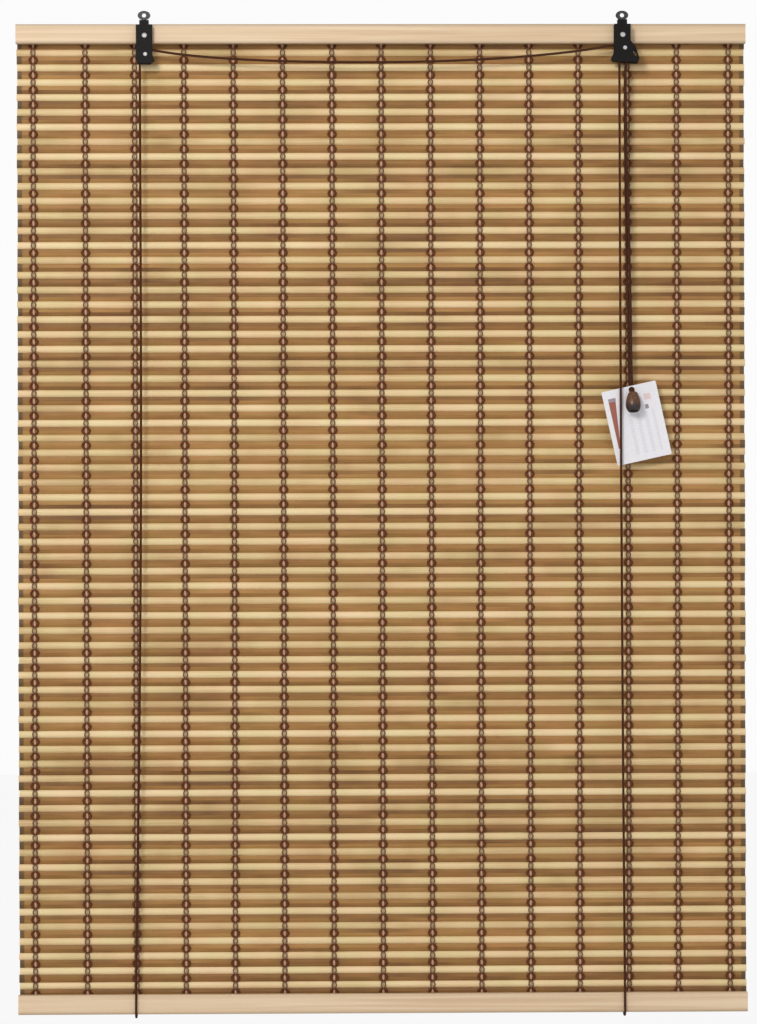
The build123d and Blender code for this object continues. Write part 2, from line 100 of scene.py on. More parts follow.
# How far the painted shade along a rail's top and foot reaches
rail_painted_shade_reach = 5.0 * MM

# Camera, fitted to the rails' edges, the warp cords and the brackets in the photograph. Angles are in
# degrees, and the focal length is in pixels of its frame of 757 by 1024
camera_place = (-0.0816, -4.5, -0.6002)
camera_yaw = -0.977
camera_pitch = -0.144
camera_roll = 0.155
focal_px = 3653.4
photo_height = 1024
sensor_height = 24.0


# Node helpers
def new_tree(material):
    """A material's node tree, its shader and its Object coordinates."""
    tree = material.node_tree
    shader = tree.nodes["Principled BSDF"]
    place = tree.nodes.new("ShaderNodeTexCoord").outputs["Object"]
    return tree, shader, place


def finish_material(name, roughness, metallic=0.0, coat=0.0, gloss=0.5):
    """A new material with these plain values on its shader."""
    material = bpy.data.materials.new(name)
    material.use_nodes = True
    shader = material.node_tree.nodes["Principled BSDF"]
    shader.inputs["Roughness"].default_value = roughness
    shader.inputs["Metallic"].default_value = metallic
    shader.inputs["Coat Weight"].default_value = coat
    shader.inputs["Specular IOR Level"].default_value = gloss
    return material


def socket(tree, target, value):
    """Sets an input to a value, or links it to an output."""
    if isinstance(value, bpy.types.NodeSocket):
        tree.links.new(value, target)
    else:
        target.default_value = value


def math_node(tree, operation, first, second=0.0, third=0.0):
    """One Math node."""
    node = tree.nodes.new("ShaderNodeMath")
    node.operation = operation
    for target, value in zip(node.inputs, (first, second, third)):
        socket(tree, target, value)
    return node.outputs[0]


def mapped(tree, place, scale, turn=(0, 0, 0), shift=(0, 0, 0)):
    """A place, scaled alone, or taken into a frame that is shifted, turned and scaled."""
    node = tree.nodes.new("ShaderNodeMapping")
    node.vector_type = "TEXTURE" if shift != (0, 0, 0) or turn != (0, 0, 0) else "POINT"
    node.inputs["Location"].default_value = shift
    node.inputs["Rotation"].default_value = turn
    node.inputs["Scale"].default_value = scale
    tree.links.new(place, node.inputs["Vector"])
    return node.outputs["Vector"]


def noise(tree, vector, scale, detail=2.0, roughness=0.5, distortion=0.0):
    """A Noise Texture's value."""
    node = tree.nodes.new("ShaderNodeTexNoise")
    node.inputs["Scale"].default_value = scale
    node.inputs["Detail"].default_value = detail
    node.inputs["Roughness"].default_value = roughness
    node.inputs["Distortion"].default_value = distortion
    tree.links.new(vector, node.inputs["Vector"])
    return node.outputs["Fac"]


def stretched(tree, place, scale, detail, roughness=0.5, distortion=0.0):
    """Noise with a scale of its own along each axis."""
    return noise(tree, mapped(tree, place, scale), 1.0, detail, roughness, distortion)


def ramp(tree, value, stops):
    """A Color Ramp from (place, linear colour) stops."""
    node = tree.nodes.new("ShaderNodeValToRGB")
    elements = node.color_ramp.elements
    while len(elements) < len(stops):
        elements.new(0.5)
    for element, (place, colour) in zip(elements, stops):
        element.position = place
        element.color = (*colour, 1.0)
    tree.links.new(value, node.inputs["Fac"])
    return node.outputs["Color"]


def mix(tree, share, first, second, blend="MIX"):
    """A Mix node for colours."""
    node = tree.nodes.new("ShaderNodeMix")
    node.data_type = "RGBA"
    node.blend_type = blend
    socket(tree, node.inputs[0], share)
    for target, value in ((node.inputs[6], first), (node.inputs[7], second)):
        socket(tree, target, (*value, 1.0) if isinstance(value, tuple) else value)
    return node.outputs[2]


def tinted(tree, colour, pattern, strength, tint):
    """The colour, with a tint over it where the pattern is 1, at this strength."""
    return mix(tree, math_node(tree, "MULTIPLY", pattern, strength), colour, tint)


def bump(tree, shader, height, distance, strength=1.0):
    """A Bump node into the shader's normal."""
    node = tree.nodes.new("ShaderNodeBump")
    node.inputs["Strength"].default_value = strength
    node.inputs["Distance"].default_value = distance
    tree.links.new(height, node.inputs["Height"])
    tree.links.new(node.outputs["Normal"], shader.inputs["Normal"])


def smooth_step(tree, value, low, high):
    """0 below low, 1 above high, smooth between."""
    node = tree.nodes.new("ShaderNodeMapRange")
    node.interpolation_type = "SMOOTHSTEP"
    socket(tree, node.inputs["Value"], value)
    node.inputs["From Min"].default_value = low
    node.inputs["From Max"].default_value = high
    return node.outputs["Result"]


def split(tree, place):
    """The X, Y and Z of a vector."""
    node = tree.nodes.new("ShaderNodeSeparateXYZ")
    tree.links.new(place, node.inputs[0])
    return node.outputs


def join(tree, x, y, z):
    """A vector from three values."""
    node = tree.nodes.new("ShaderNodeCombineXYZ")
    for target, value in zip(node.inputs, (x, y, z)):
        socket(tree, target, value)
    return node.outputs[0]


def srgb(red, green, blue):
    """A colour of 0 to 255 as linear values."""
    shares = [c / 255 for c in (red, green, blue)]
    return tuple(s / 12.92 if s <= 0.04045 else ((s + 0.055) / 1.055) ** 2.4 for s in shares)


# What the bamboo's tone is made of, and how strong its darker marks are
grain_share, patch_share, tone_share = 0.34, 0.5, 0.2
streak_strength, stain_strength, joint_strength = 0.35, 0.55, 0.55

# Tints that the bamboo drifts between, and the darker colour at its ends
hue_pink, hue_olive = (1.0, 0.935, 0.87), (0.95, 0.965, 0.83)
end_darkening = srgb(70, 56, 34)

# Where a slat's darker end begins and where it is full, from the middle line
end_from, end_full = 442.5 * MM, 444.5 * MM

# The warp yarn's colours, and the waves of its twist and the cords' braid in radians a metre
yarn_brown_low, yarn_brown_high = srgb(84, 40, 18), srgb(138, 80, 44)
yarn_grey_low, yarn_grey_high = srgb(96, 70, 52), srgb(146, 116, 90)
core_pale_low, core_pale_high = srgb(170, 142, 108), srgb(200, 172, 136)
core_pink = srgb(204, 160, 128)
twist_across, twist_down = 5200.0, 4300.0
braid_across, braid_down = 3600.0, 2400.0

# A light slat's edge, as shares of the pitch from its middle, where the yarn changes its colour
slat_edge = (0.19, 0.27)


# Materials
def slat_number(tree, place):
    """A number that grows by one with each pair of slats down the mat and changes in mid dark slat."""
    z = split(tree, place)[2]
    depth = math_node(tree, "SUBTRACT", first_light + slat_pitch / 2, z)
    return math_node(tree, "FLOOR", math_node(tree, "DIVIDE", depth, slat_pitch))


def wood_grain(tree, place, number, along, across):
    """Long grain: noise drawn out along X and shifted for each slat."""
    x, y, z = split(tree, place)
    shifted = join(tree, math_node(tree, "MULTIPLY_ADD", number, 3.7, x), y, z)
    return stretched(tree, shifted, (along, across, across), detail=5.0, roughness=0.6, distortion=0.3)


def drift(tree, place, number, step, scale, detail, roughness=0.5, offset=0.0):
    """Noise that changes slowly along a slat and is another one on the next slat."""
    x = split(tree, place)[0]
    moved = join(tree, math_node(tree, "MULTIPLY_ADD", number, step, x), offset, number)
    return stretched(tree, moved, scale, detail, roughness)


def slat_tone(tree, number, seed):
    """A random value for each slat."""
    node = tree.nodes.new("ShaderNodeTexWhiteNoise")
    node.noise_dimensions = "1D"
    tree.links.new(math_node(tree, "ADD", number, seed), node.inputs["W"])
    return node.outputs["Value"]


def bamboo(name, light, middle, deep, seed, roughness, end_shade):
    """Bamboo: long grain, a tone for each slat, slow patches, a drift of hue, stains and brown joints."""
    material = finish_material(name, roughness, coat=0.04, gloss=0.35)
    tree, shader, place = new_tree(material)
    number = slat_number(tree, place)
    tone = slat_tone(tree, number, seed)
    grain = wood_grain(tree, place, number, along=14.0, across=1400.0)
    fine = wood_grain(tree, place, number, along=60.0, across=5200.0)
    patches = drift(tree, place, number, step=1.3, scale=(7.0, 1.0, 1.0), detail=3.0, roughness=0.6)
    mixed = math_node(tree, "MULTIPLY", patches, patch_share)
    mixed = math_node(tree, "MULTIPLY_ADD", grain, grain_share, mixed)
    mixed = math_node(tree, "MULTIPLY_ADD", tone, tone_share, mixed)
    colour = ramp(tree, mixed, [(0.3, deep), (0.5, middle), (0.68, light)])
    colour = tinted(tree, colour, smooth_step(tree, fine, 0.55, 0.75), streak_strength, deep)
    hue = drift(tree, place, number, step=2.9, scale=(11.0, 1.0, 1.0), detail=2.0)
    hue_tint = mix(tree, smooth_step(tree, hue, 0.38, 0.62), hue_pink, hue_olive)
    colour = mix(tree, 1.0, colour, hue_tint, "MULTIPLY")
    stain = drift(tree, place, number, step=5.3, scale=(3.2, 1.0, 1.0), detail=1.0, offset=seed)
    colour = tinted(tree, colour, smooth_step(tree, stain, 0.6, 0.7), stain_strength, deep)
    joints = drift(tree, place, number, step=0.618, scale=(30.0, 1.0, 40.0), detail=1.0)
    colour = tinted(tree, colour, smooth_step(tree, joints, 0.69, 0.75), joint_strength, deep)
    from_middle = math_node(tree, "ABSOLUTE", split(tree, place)[0])
    colour = tinted(tree, colour, smooth_step(tree, from_middle, end_from, end_full), end_shade, end_darkening)
    tree.links.new(colour, shader.inputs["Base Color"])
    height = math_node(tree, "MULTIPLY_ADD", fine, 0.5, grain)
    bump(tree, shader, height, distance=0.4 * MM, strength=0.5)
    return material


def rail_wood(name, node_name, top_painted_shade):
    """Pale varnished lath: faint long grain, and painted shade along its top and foot."""
    material = finish_material(name, 0.45, coat=0.06, gloss=0.4)
    tree, shader, place = new_tree(material)
    rings = stretched(tree, place, (2.2, 60.0, 130.0), detail=4.0, roughness=0.55, distortion=0.8)
    fine = stretched(tree, place, (30.0, 900.0, 2400.0), detail=4.0, roughness=0.6)
    colour = ramp(
        tree,
        rings,
        [(0.32, srgb(212, 182, 146)), (0.55, srgb(228, 202, 168)), (0.72, srgb(236, 214, 182))],
    )
    colour = tinted(tree, colour, smooth_step(tree, fine, 0.55, 0.8), 0.3, srgb(192, 158, 120))
    # Painted shade: the lath darkens towards its foot and, by the given share, towards its top
    low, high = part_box(node_name)
    z = split(tree, place)[2]
    foot = smooth_step(tree, math_node(tree, "SUBTRACT", low.z + rail_painted_shade_reach, z), 0.0, rail_painted_shade_reach)
    top = smooth_step(tree, math_node(tree, "SUBTRACT", z, high.z - rail_painted_shade_reach), 0.0, rail_painted_shade_reach)
    edges = math_node(tree, "MAXIMUM", foot, math_node(tree, "MULTIPLY", top, top_painted_shade))
    colour = tinted(tree, colour, edges, 0.6, srgb(150, 128, 104))
    tree.links.new(colour, shader.inputs["Base Color"])
    bump(tree, shader, math_node(tree, "ADD", fine, rings), distance=0.3 * MM, strength=0.35)
    return material


def over_dark_slat(tree, z):
    """1 over a dark slat and 0 over a light one."""
    depth = math_node(tree, "SUBTRACT", first_light, z)
    share = math_node(tree, "FRACT", math_node(tree, "DIVIDE", depth, slat_pitch))
    return smooth_step(tree, math_node(tree, "PINGPONG", share, 0.5), *slat_edge)


def slanted_wave(tree, x, z, across, down):
    """A wave from -1 to 1 whose crests slant over X and Z."""
    fall = math_node(tree, "MULTIPLY", z, down)
    return math_node(tree, "SINE", math_node(tree, "MULTIPLY_ADD", x, across, fall))


def yarn():
    """Twisted yarn: slanting strands, greyer over a light slat, with a core that is pale or pink."""
    material = finish_material("warp_yarn", 0.85, gloss=0.25)
    tree, shader, place = new_tree(material)
    x, _, z = split(tree, place)
    over_dark = over_dark_slat(tree, z)
    core = tree.nodes.new("ShaderNodeAttribute")
    core.attribute_name = "core"
    wave = slanted_wave(tree, x, z, twist_across, twist_down)
    strands = math_node(tree, "MULTIPLY_ADD", wave, 0.5, 0.5)
    fuzz = noise(tree, place, 900.0, detail=3.0, roughness=0.6)
    brown = mix(tree, math_node(tree, "MULTIPLY", strands, 0.5), yarn_brown_low, yarn_brown_high)
    grey = mix(tree, fuzz, yarn_grey_low, yarn_grey_high)
    ring = mix(tree, over_dark, grey, brown)
    middle = mix(tree, over_dark, mix(tree, fuzz, core_pale_low, core_pale_high), core_pink)
    colour = mix(tree, core.outputs["Fac"], ring, middle)
    tree.links.new(colour, shader.inputs["Base Color"])
    bump(tree, shader, math_node(tree, "ADD", strands, fuzz), distance=0.3 * MM, strength=0.5)
    return material


def braid():
    """Braided cord: two slanting waves that cross, over the cords' upright runs."""
    material = finish_material("braided_cord", 0.8, gloss=0.2)
    tree, shader, place = new_tree(material)
    x, _, z = split(tree, place)
    one = slanted_wave(tree, x, z, braid_across, braid_down)
    two = slanted_wave(tree, x, z, -braid_across, braid_down)
    strands = math_node(tree, "MULTIPLY_ADD", math_node(tree, "MAXIMUM", one, two), 0.5, 0.5)
    fuzz = noise(tree, place, 700.0, detail=3.0, roughness=0.6)
    colour = mix(tree, strands, srgb(30, 14, 7), srgb(80, 44, 25))
    colour = tinted(tree, colour, fuzz, 0.35, srgb(62, 32, 18))
    tree.links.new(colour, shader.inputs["Base Color"])
    bump(tree, shader, strands, distance=0.3 * MM, strength=0.7)
    return material


def steel(name, low, high, roughness, metallic=1.0):
    """Metal with fine brushing."""
    material = finish_material(name, roughness, metallic)
    tree, shader, place = new_tree(material)
    brushed = stretched(tree, place, (900.0, 9000.0, 2400.0), detail=3.0, roughness=0.6)
    tree.links.new(mix(tree, brushed, low, high), shader.inputs["Base Color"])
    bump(tree, shader, brushed, distance=0.05 * MM, strength=0.4)
    return material


def black_enamel():
    """Black enamel over pressed steel, with a slight orange peel."""
    material = finish_material("black_enamel", 0.5, gloss=0.14)
    tree, shader, place = new_tree(material)
    peel = noise(tree, place, 700.0, detail=3.0)
    tree.links.new(mix(tree, peel, srgb(6, 5, 4), srgb(18, 16, 14)), shader.inputs["Base Color"])
    bump(tree, shader, peel, distance=0.2 * MM, strength=0.35)
    return material


def knob_wood():
    """Dark stained, varnished wood: fine upright grain, and painted shade towards the knob's foot."""
    material = finish_material("dark_turned_wood", 0.4, coat=0.15, gloss=0.4)
    tree, shader, place = new_tree(material)
    grain = stretched(tree, place, (900.0, 900.0, 90.0), detail=4.0, roughness=0.6, distortion=0.4)
    colour = ramp(
        tree,
        grain,
        [(0.3, srgb(48, 24, 12)), (0.55, srgb(98, 60, 32)), (0.75, srgb(140, 94, 54))],
    )
    # Painted shade: the knob darkens towards its foot, as under a light from above
    low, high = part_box("pull_knob")
    height = high.z - low.z
    above_painted_shade = smooth_step(tree, split(tree, place)[2], low.z + 0.25 * height, low.z + 0.6 * height)
    colour = mix(tree, above_painted_shade, srgb(34, 17, 9), colour)
    tree.links.new(colour, shader.inputs["Base Color"])
    bump(tree, shader, grain, distance=0.1 * MM, strength=0.3)
    return material


def plastic():
    """Moulded nylon, slightly mottled."""
    material = finish_material("ivory_nylon", 0.45)
    tree, shader, place = new_tree(material)
    mottle = noise(tree, place, 300.0)
    tree.links.new(mix(tree, mottle, srgb(206, 200, 186), srgb(226, 221, 208)), shader.inputs["Base Color"])
    return material


# The hang tag: its middle and its turn, and the fields on it as left, right, low and high, in mm from
# its middle
tag_centre = Vector((313.9, 1.5, -502.8)) * MM
tag_turn = math.radians(12.5)
print_softness = 0.4 * MM
grey_columns = [(-8, -4, -38, 12), (2, 6, -38, 12), (12, 16, -38, 12), (22, 25, -38, 12)]
column_lines = 3300.0
bar_field = (-28, -19.5, -26, 32)

# The bar's right side leans to the left on its way down, and is soft over this width, in mm
bar_lean = 0.11
bar_side = (-19.8, -19)
tag_marks = [
    (16, 24, 26, 33, srgb(226, 196, 192)),
    (15, 19, 15, 20, srgb(96, 88, 104)),
    (-28, -19, 32.5, 36, srgb(120, 86, 104)),
]


def tag_card():
    """White card with a red-brown bar and its cap, faint grey columns and two small marks."""
    material = finish_material("white_card", 0.65, gloss=0.3)
    tree, shader, place = new_tree(material)
    local = mapped(tree, place, (1, 1, 1), turn=(0, -tag_turn, 0), shift=tuple(tag_centre))
    x, _, z = split(tree, local)

    def field(*edges):
        """1 inside a rectangle of the card."""
        left, right, low, high = (edge * MM for edge in edges)
        sides = smooth_step(tree, x, left - print_softness, left)
        sides = math_node(tree, "SUBTRACT", sides, smooth_step(tree, x, right, right + print_softness))
        ends = smooth_step(tree, z, low - print_softness, low)
        ends = math_node(tree, "SUBTRACT", ends, smooth_step(tree, z, high, high + print_softness))
        return math_node(tree, "MULTIPLY", sides, ends)

    paper = noise(tree, place, 400.0)
    colour = mix(tree, paper, srgb(228, 226, 231), srgb(242, 241, 244))
    lines = math_node(tree, "SINE", math_node(tree, "MULTIPLY", z, column_lines))
    lines = smooth_step(tree, lines, -0.2, 0.4)
    for edges in grey_columns:
        column = math_node(tree, "MULTIPLY", field(*edges), lines)
        colour = tinted(tree, colour, column, 0.3, srgb(150, 152, 172))
    below_top = math_node(tree, "SUBTRACT", bar_field[3] * MM, z)
    leaning = math_node(tree, "MULTIPLY_ADD", below_top, bar_lean, x)
    beyond = smooth_step(tree, leaning, bar_side[0] * MM, bar_side[1] * MM)
    bar = math_node(tree, "MULTIPLY", field(*bar_field), math_node(tree, "SUBTRACT", 1.0, beyond))
    colour = tinted(tree, colour, bar, 0.92, srgb(152, 70, 38))
    for *edges, tint in tag_marks:
        colour = tinted(tree, colour, field(*edges), 0.75, tint)
    tree.links.new(colour, shader.inputs["Base Color"])
    return material


bamboo_light = bamboo(
    "light_bamboo",
    light=srgb(244, 222, 184),
    middle=srgb(228, 202, 158),
    deep=srgb(184, 150, 102),
    seed=11.0,
    roughness=0.45,
    end_shade=0.0,
)
bamboo_dark = bamboo(
    "dark_bamboo",
    light=srgb(180, 136, 80),
    middle=srgb(150, 108, 55),
    deep=srgb(98, 62, 28),
    seed=47.0,
    roughness=0.52,
    end_shade=0.75,
)
warp_yarn = yarn()
cord_braid = braid()
head_wood = rail_wood("head_lath", "head_rail", top_painted_shade=1.0)
foot_wood = rail_wood("foot_lath", "bottom_rail", top_painted_shade=0.3)
bright_steel = steel("bright_steel", srgb(170, 170, 172), srgb(212, 212, 214), roughness=0.28)
eye_steel = steel("eye_steel", srgb(34, 33, 33), srgb(84, 83, 84), roughness=0.32, metallic=0.8)
aged_brass = steel("aged_brass", srgb(70, 54, 30), srgb(108, 84, 46), roughness=0.45)
enamel = black_enamel()
turned_wood = knob_wood()
nylon = plastic()
card = tag_card()


# Meshes
def add_mesh(name, mesh, material):
    """An object for a finished mesh, at the origin, riding on the blind."""
    obj = bpy.data.objects.new(name, mesh)
    bpy.context.scene.collection.objects.link(obj)
    mesh.materials.clear()
    mesh.materials.append(material)
    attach(obj, "blind")
    return obj


def smooth_by_angle(mesh, degrees=35):
    """Smooth faces, with edges sharper than this kept."""
    for polygon in mesh.polygons:
        polygon.use_smooth = True
    mesh.set_sharp_from_angle(angle=math.radians(degrees))


def slat_template(name, section, length):
    """A bar along X with this closed YZ section, in even segments."""
    mesh = bmesh.new()
    rings = []
    for step in range(slat_segments + 1):
        x = length * (step / slat_segments - 0.5)
        rings.append([mesh.verts.new((x, y, z)) for y, z in section])
    count = len(section)
    for before, after in zip(rings, rings[1:]):
        for corner in range(count):
            following = (corner + 1) % count
            mesh.faces.new((before[corner], before[following], after[following], after[corner]))
    mesh.faces.new(reversed(rings[0]))
    mesh.faces.new(rings[-1])
    bmesh.ops.recalc_face_normals(mesh, faces=mesh.faces)
    data = bpy.data.meshes.new(name)
    mesh.to_mesh(data)
    mesh.free()
    obj = bpy.data.objects.new(name, data)
    bpy.context.scene.collection.objects.link(obj)
    return obj


def light_section():
    """A split cane: flat back, rounded front."""
    half = light_height / 2
    back = [(0.0, half - light_back_ease), (0.0, -half + light_back_ease)]
    front = []
    for step in range(light_front_steps + 1):
        share = 2 * step / light_front_steps - 1
        swell = (1 - abs(share) ** light_fullness) * (light_depth - light_edge_depth)
        front.append((-light_edge_depth - swell, share * half))
    front[0] = (-light_edge_depth + light_front_ease, -half)
    front[-1] = (-light_edge_depth + light_front_ease, half)
    return back + front


def dark_section():
    """A flat lath with eased edges."""
    half, ease = dark_height / 2, dark_ease
    return [
        (0.0, half - ease),
        (0.0, -half + ease),
        (-ease, -half),
        (-dark_depth + ease, -half),
        (-dark_depth, -half + ease),
        (-dark_depth, half - ease),
        (-dark_depth + ease, half),
        (-ease, half),
    ]


class Tree:
    """A Geometry Nodes tree under construction."""

    def __init__(self, name, inputs):
        self.group = bpy.data.node_groups.new(name, "GeometryNodeTree")
        self.group.interface.new_socket("Geometry", in_out="OUTPUT", socket_type="NodeSocketGeometry")
        self.sockets = {}
        for label, kind, value in inputs:
            item = self.group.interface.new_socket(label, in_out="INPUT", socket_type=kind)
            if kind != "NodeSocketObject":
                item.default_value = value
            self.sockets[label] = (item.identifier, value)
        self.start = self.group.nodes.new("NodeGroupInput")

    def input(self, label):
        """The group input of this name."""
        return self.start.outputs[label]

    def node(self, kind, values=(), **settings):
        """A node with settings, and inputs given by name or index."""
        made = self.group.nodes.new(kind)
        for key, value in settings.items():
            setattr(made, key, value)
        for key, value in dict(values).items():
            socket(self.group, made.inputs[key], value)
        return made

    def sum(self, operation, first, second=0.0, third=0.0):
        """One Math node."""
        return math_node(self.group, operation, first, second, third)

    def close(self, geometry, material):
        """Realizes, sets the material and links the output."""
        real = self.node("GeometryNodeRealizeInstances", {0: geometry}).outputs[0]
        painted = self.node("GeometryNodeSetMaterial", {0: real, "Material": material}).outputs[0]
        end = self.group.nodes.new("NodeGroupOutput")
        self.group.links.new(painted, end.inputs[0])

    def make(self, **changes):
        """The plain mesh that the tree gives, with some inputs changed."""
        carrier = bpy.data.objects.new(self.group.name, bpy.data.meshes.new(self.group.name))
        bpy.context.scene.collection.objects.link(carrier)
        modifier = carrier.modifiers.new("make", "NODES")
        modifier.node_group = self.group
        for label, (identifier, value) in self.sockets.items():
            modifier[identifier] = changes.get(label.lower().replace(" ", "_"), value)
        depsgraph = bpy.context.evaluated_depsgraph_get()
        mesh = bpy.data.meshes.new_from_object(carrier.evaluated_get(depsgraph), depsgraph=depsgraph)
        bpy.data.objects.remove(carrier)
        return mesh


def slat_rows(name, template, material, count, first_z, tilt, lift, seed):
    """Rows of one slat down the mat, each turned and moved a little, with a slow bow along it."""
    tree = Tree(
        name,
        [
            ("Count", "NodeSocketInt", count),
            ("Pitch", "NodeSocketFloat", slat_pitch),
            ("First", "NodeSocketFloat", first_z),
            ("Tilt", "NodeSocketFloat", tilt),
            ("Shift", "NodeSocketFloat", slat_shift),
            ("Lift", "NodeSocketFloat", lift),
            ("Seed", "NodeSocketInt", seed),
            ("Slat", "NodeSocketObject", template),
        ],
    )
    drop = tree.sum("MULTIPLY", tree.input("Pitch"), -1.0)
    line = tree.node(
        "GeometryNodeMeshLine",
        {
            "Count": tree.input("Count"),
            "Start Location": join(tree.group, 0.0, mat_high.y, tree.input("First")),
            "Offset": join(tree.group, 0.0, 0.0, drop),
        },
    )

    def stray(label, seed):
        """A random value along X, up to the named input either way."""
        return tree.node(
            "FunctionNodeRandomValue",
            {
                0: join(tree.group, tree.sum("MULTIPLY", tree.input(label), -1.0), 0.0, 0.0),
                1: join(tree.group, tree.input(label), 0.0, 0.0),
                "Seed": seed,
            },
            data_type="FLOAT_VECTOR",
        ).outputs[0]

    slat = tree.node("GeometryNodeObjectInfo", {"Object": tree.input("Slat")}).outputs["Geometry"]
    turn = stray("Tilt", tree.input("Seed"))
    slide = stray("Shift", tree.sum("ADD", tree.input("Seed"), 1))
    slid = tree.node("GeometryNodeSetPosition", {"Geometry": line.outputs[0], "Offset": slide}).outputs[0]
    rows = tree.node(
        "GeometryNodeInstanceOnPoints", {"Points": slid, "Instance": slat, "Rotation": turn}
    ).outputs[0]
    solid = tree.node("GeometryNodeRealizeInstances", {0: rows}).outputs[0]
    x, _, z = split(tree.group, tree.node("GeometryNodeInputPosition").outputs[0])
    depth = tree.sum("SUBTRACT", tree.input("First"), z)
    row = tree.sum("ROUND", tree.sum("DIVIDE", depth, tree.input("Pitch")))
    along = tree.sum("MULTIPLY", x, bow_per_metre)
    bow_place = join(tree.group, along, tree.sum("MULTIPLY", row, bow_per_row), tree.input("Seed"))
    bow = tree.node("ShaderNodeTexNoise", {"Vector": bow_place, "Scale": 1.0, "Detail": 1.0}).outputs[0]
    lifted = tree.sum("MULTIPLY", tree.sum("SUBTRACT", bow, 0.5), tree.input("Lift"))
    moved = tree.node(
        "GeometryNodeSetPosition", {"Geometry": solid, "Offset": join(tree.group, 0.0, 0.0, lifted)}
    ).outputs[0]
    tree.close(moved, material)
    mesh = tree.make()
    bpy.data.objects.remove(template)
    smooth_by_angle(mesh, degrees=50)
    return mesh


def warp_tree():
    """A tree for one warp cord: two yarns and a core, each a closed loop round the mat."""
    tree = Tree(
        "warp_cord",
        [
            ("Place", "NodeSocketFloat", 0.0),
            ("Height", "NodeSocketFloat", warp_height),
            ("Depth", "NodeSocketFloat", warp_depth),
            ("Pitch", "NodeSocketFloat", slat_pitch),
            ("Dark Reach", "NodeSocketFloat", warp_reach_dark),
            ("Light Reach", "NodeSocketFloat", warp_reach_light),
            ("Sink", "NodeSocketFloat", warp_sink),
            ("Weave", "NodeSocketFloat", warp_weave),
        ],
    )
    group = tree.group
    middle_y = (mat_low.y + mat_high.y) / 2
    middle_z = (mat_low.z + mat_high.z) / 2
    dark_z = first_light - slat_pitch / 2

    def strand(side, steps, radius_dark, radius_light, extra_sink, sides):
        """One strand: side is 1 or -1 for a yarn and 0 for the core."""
        loop = tree.node(
            "GeometryNodeCurvePrimitiveQuadrilateral",
            {"Width": tree.input("Depth"), "Height": tree.input("Height")},
        ).outputs[0]
        turned = tree.node(
            "GeometryNodeTransform",
            {
                "Geometry": loop,
                "Translation": (0.0, middle_y, middle_z),
                "Rotation": (math.pi / 2, 0, math.pi / 2),
            },
        ).outputs[0]
        round_off = tree.node(
            "GeometryNodeFilletCurve", {"Curve": turned, "Radius": warp_corner_radius}, mode="POLY"
        )
        round_off.inputs["Count"].default_value = warp_corner_points
        spaced = tree.node(
            "GeometryNodeResampleCurve",
            {"Curve": round_off.outputs[0], "Length": tree.sum("DIVIDE", tree.input("Pitch"), float(steps))},
            mode="LENGTH",
        ).outputs[0]
        _, y, z = split(group, tree.node("GeometryNodeInputPosition").outputs[0])

        # A wave down the cord: 1 over a dark slat and -1 over a light one
        turns = tree.sum("DIVIDE", tree.sum("SUBTRACT", z, dark_z), tree.input("Pitch"))
        phase = tree.sum("MULTIPLY", turns, 2 * math.pi)
        wave = tree.sum("COSINE", phase)
        over_dark = smooth_step(group, wave, *yarn_swell)

        # Sideways: the two yarns part over each slat and cross between two slats
        spread = tree.sum("SUBTRACT", tree.input("Dark Reach"), tree.input("Light Reach"))
        reach = tree.sum("MULTIPLY_ADD", spread, over_dark, tree.input("Light Reach"))
        full = tree.sum("POWER", tree.sum("ABSOLUTE", wave), warp_fullness)
        across = tree.sum("MULTIPLY", tree.sum("MULTIPLY", tree.sum("SIGN", wave), full), reach)
        across_cords = tree.sum("MULTIPLY", tree.input("Place"), stray_across)
        stray_place = join(group, across_cords, side, tree.sum("MULTIPLY", z, stray_down))
        stray = tree.node("ShaderNodeTexNoise", {"Vector": stray_place}).outputs[0]
        loose = tree.sum("MULTIPLY", tree.sum("SUBTRACT", stray, 0.5), warp_stray)
        shift = tree.sum("MULTIPLY_ADD", across, float(side), tree.sum("ADD", tree.input("Place"), loose))

        # In depth: the front sinks in over the thinner dark slats, and the yarns pass each other
        front = tree.sum("LESS_THAN", y, middle_y)
        sunk = tree.sum("MULTIPLY", tree.sum("MULTIPLY_ADD", wave, 0.5, 0.5), tree.input("Sink"))
        sunk = tree.sum("MULTIPLY", tree.sum("ADD", sunk, extra_sink), front)
        woven = tree.sum("MULTIPLY", tree.sum("SINE", phase), tree.input("Weave"))
        crossing = tree.sum("MULTIPLY", woven, -float(side))
        moved = tree.node(
            "GeometryNodeSetPosition",
            {"Geometry": spaced, "Offset": join(group, shift, tree.sum("ADD", sunk, crossing), 0.0)},
        ).outputs[0]
        ring = tree.node("GeometryNodeCurvePrimitiveCircle", {"Resolution": sides, "Radius": 1.0}).outputs[0]
        swell = over_dark if side else smooth_step(group, wave, *core_swell)
        girth = tree.sum("MULTIPLY_ADD", swell, radius_dark - radius_light, radius_light)
        tube = tree.node(
            "GeometryNodeCurveToMesh", {"Curve": moved, "Profile Curve": ring, "Scale": girth}
        ).outputs[0]
        return tree.node(
            "GeometryNodeStoreNamedAttribute",
            {"Geometry": tube, "Name": "core", "Value": 1.0 if side == 0 else 0.0},
            data_type="FLOAT",
            domain="POINT",
        ).outputs[0]

    strands = [
        strand(1, yarn_steps, yarn_radius_dark, yarn_radius_light, 0.0, yarn_sides),
        strand(-1, yarn_steps, yarn_radius_dark, yarn_radius_light, 0.0, yarn_sides),
        strand(0, core_steps, core_radius_dark, core_radius_light, core_sink, core_sides),
    ]
    both = tree.node("GeometryNodeJoinGeometry")
    for geometry in strands:
        group.links.new(geometry, both.inputs[0])
    tree.close(both.outputs[0], warp_yarn)
    return tree


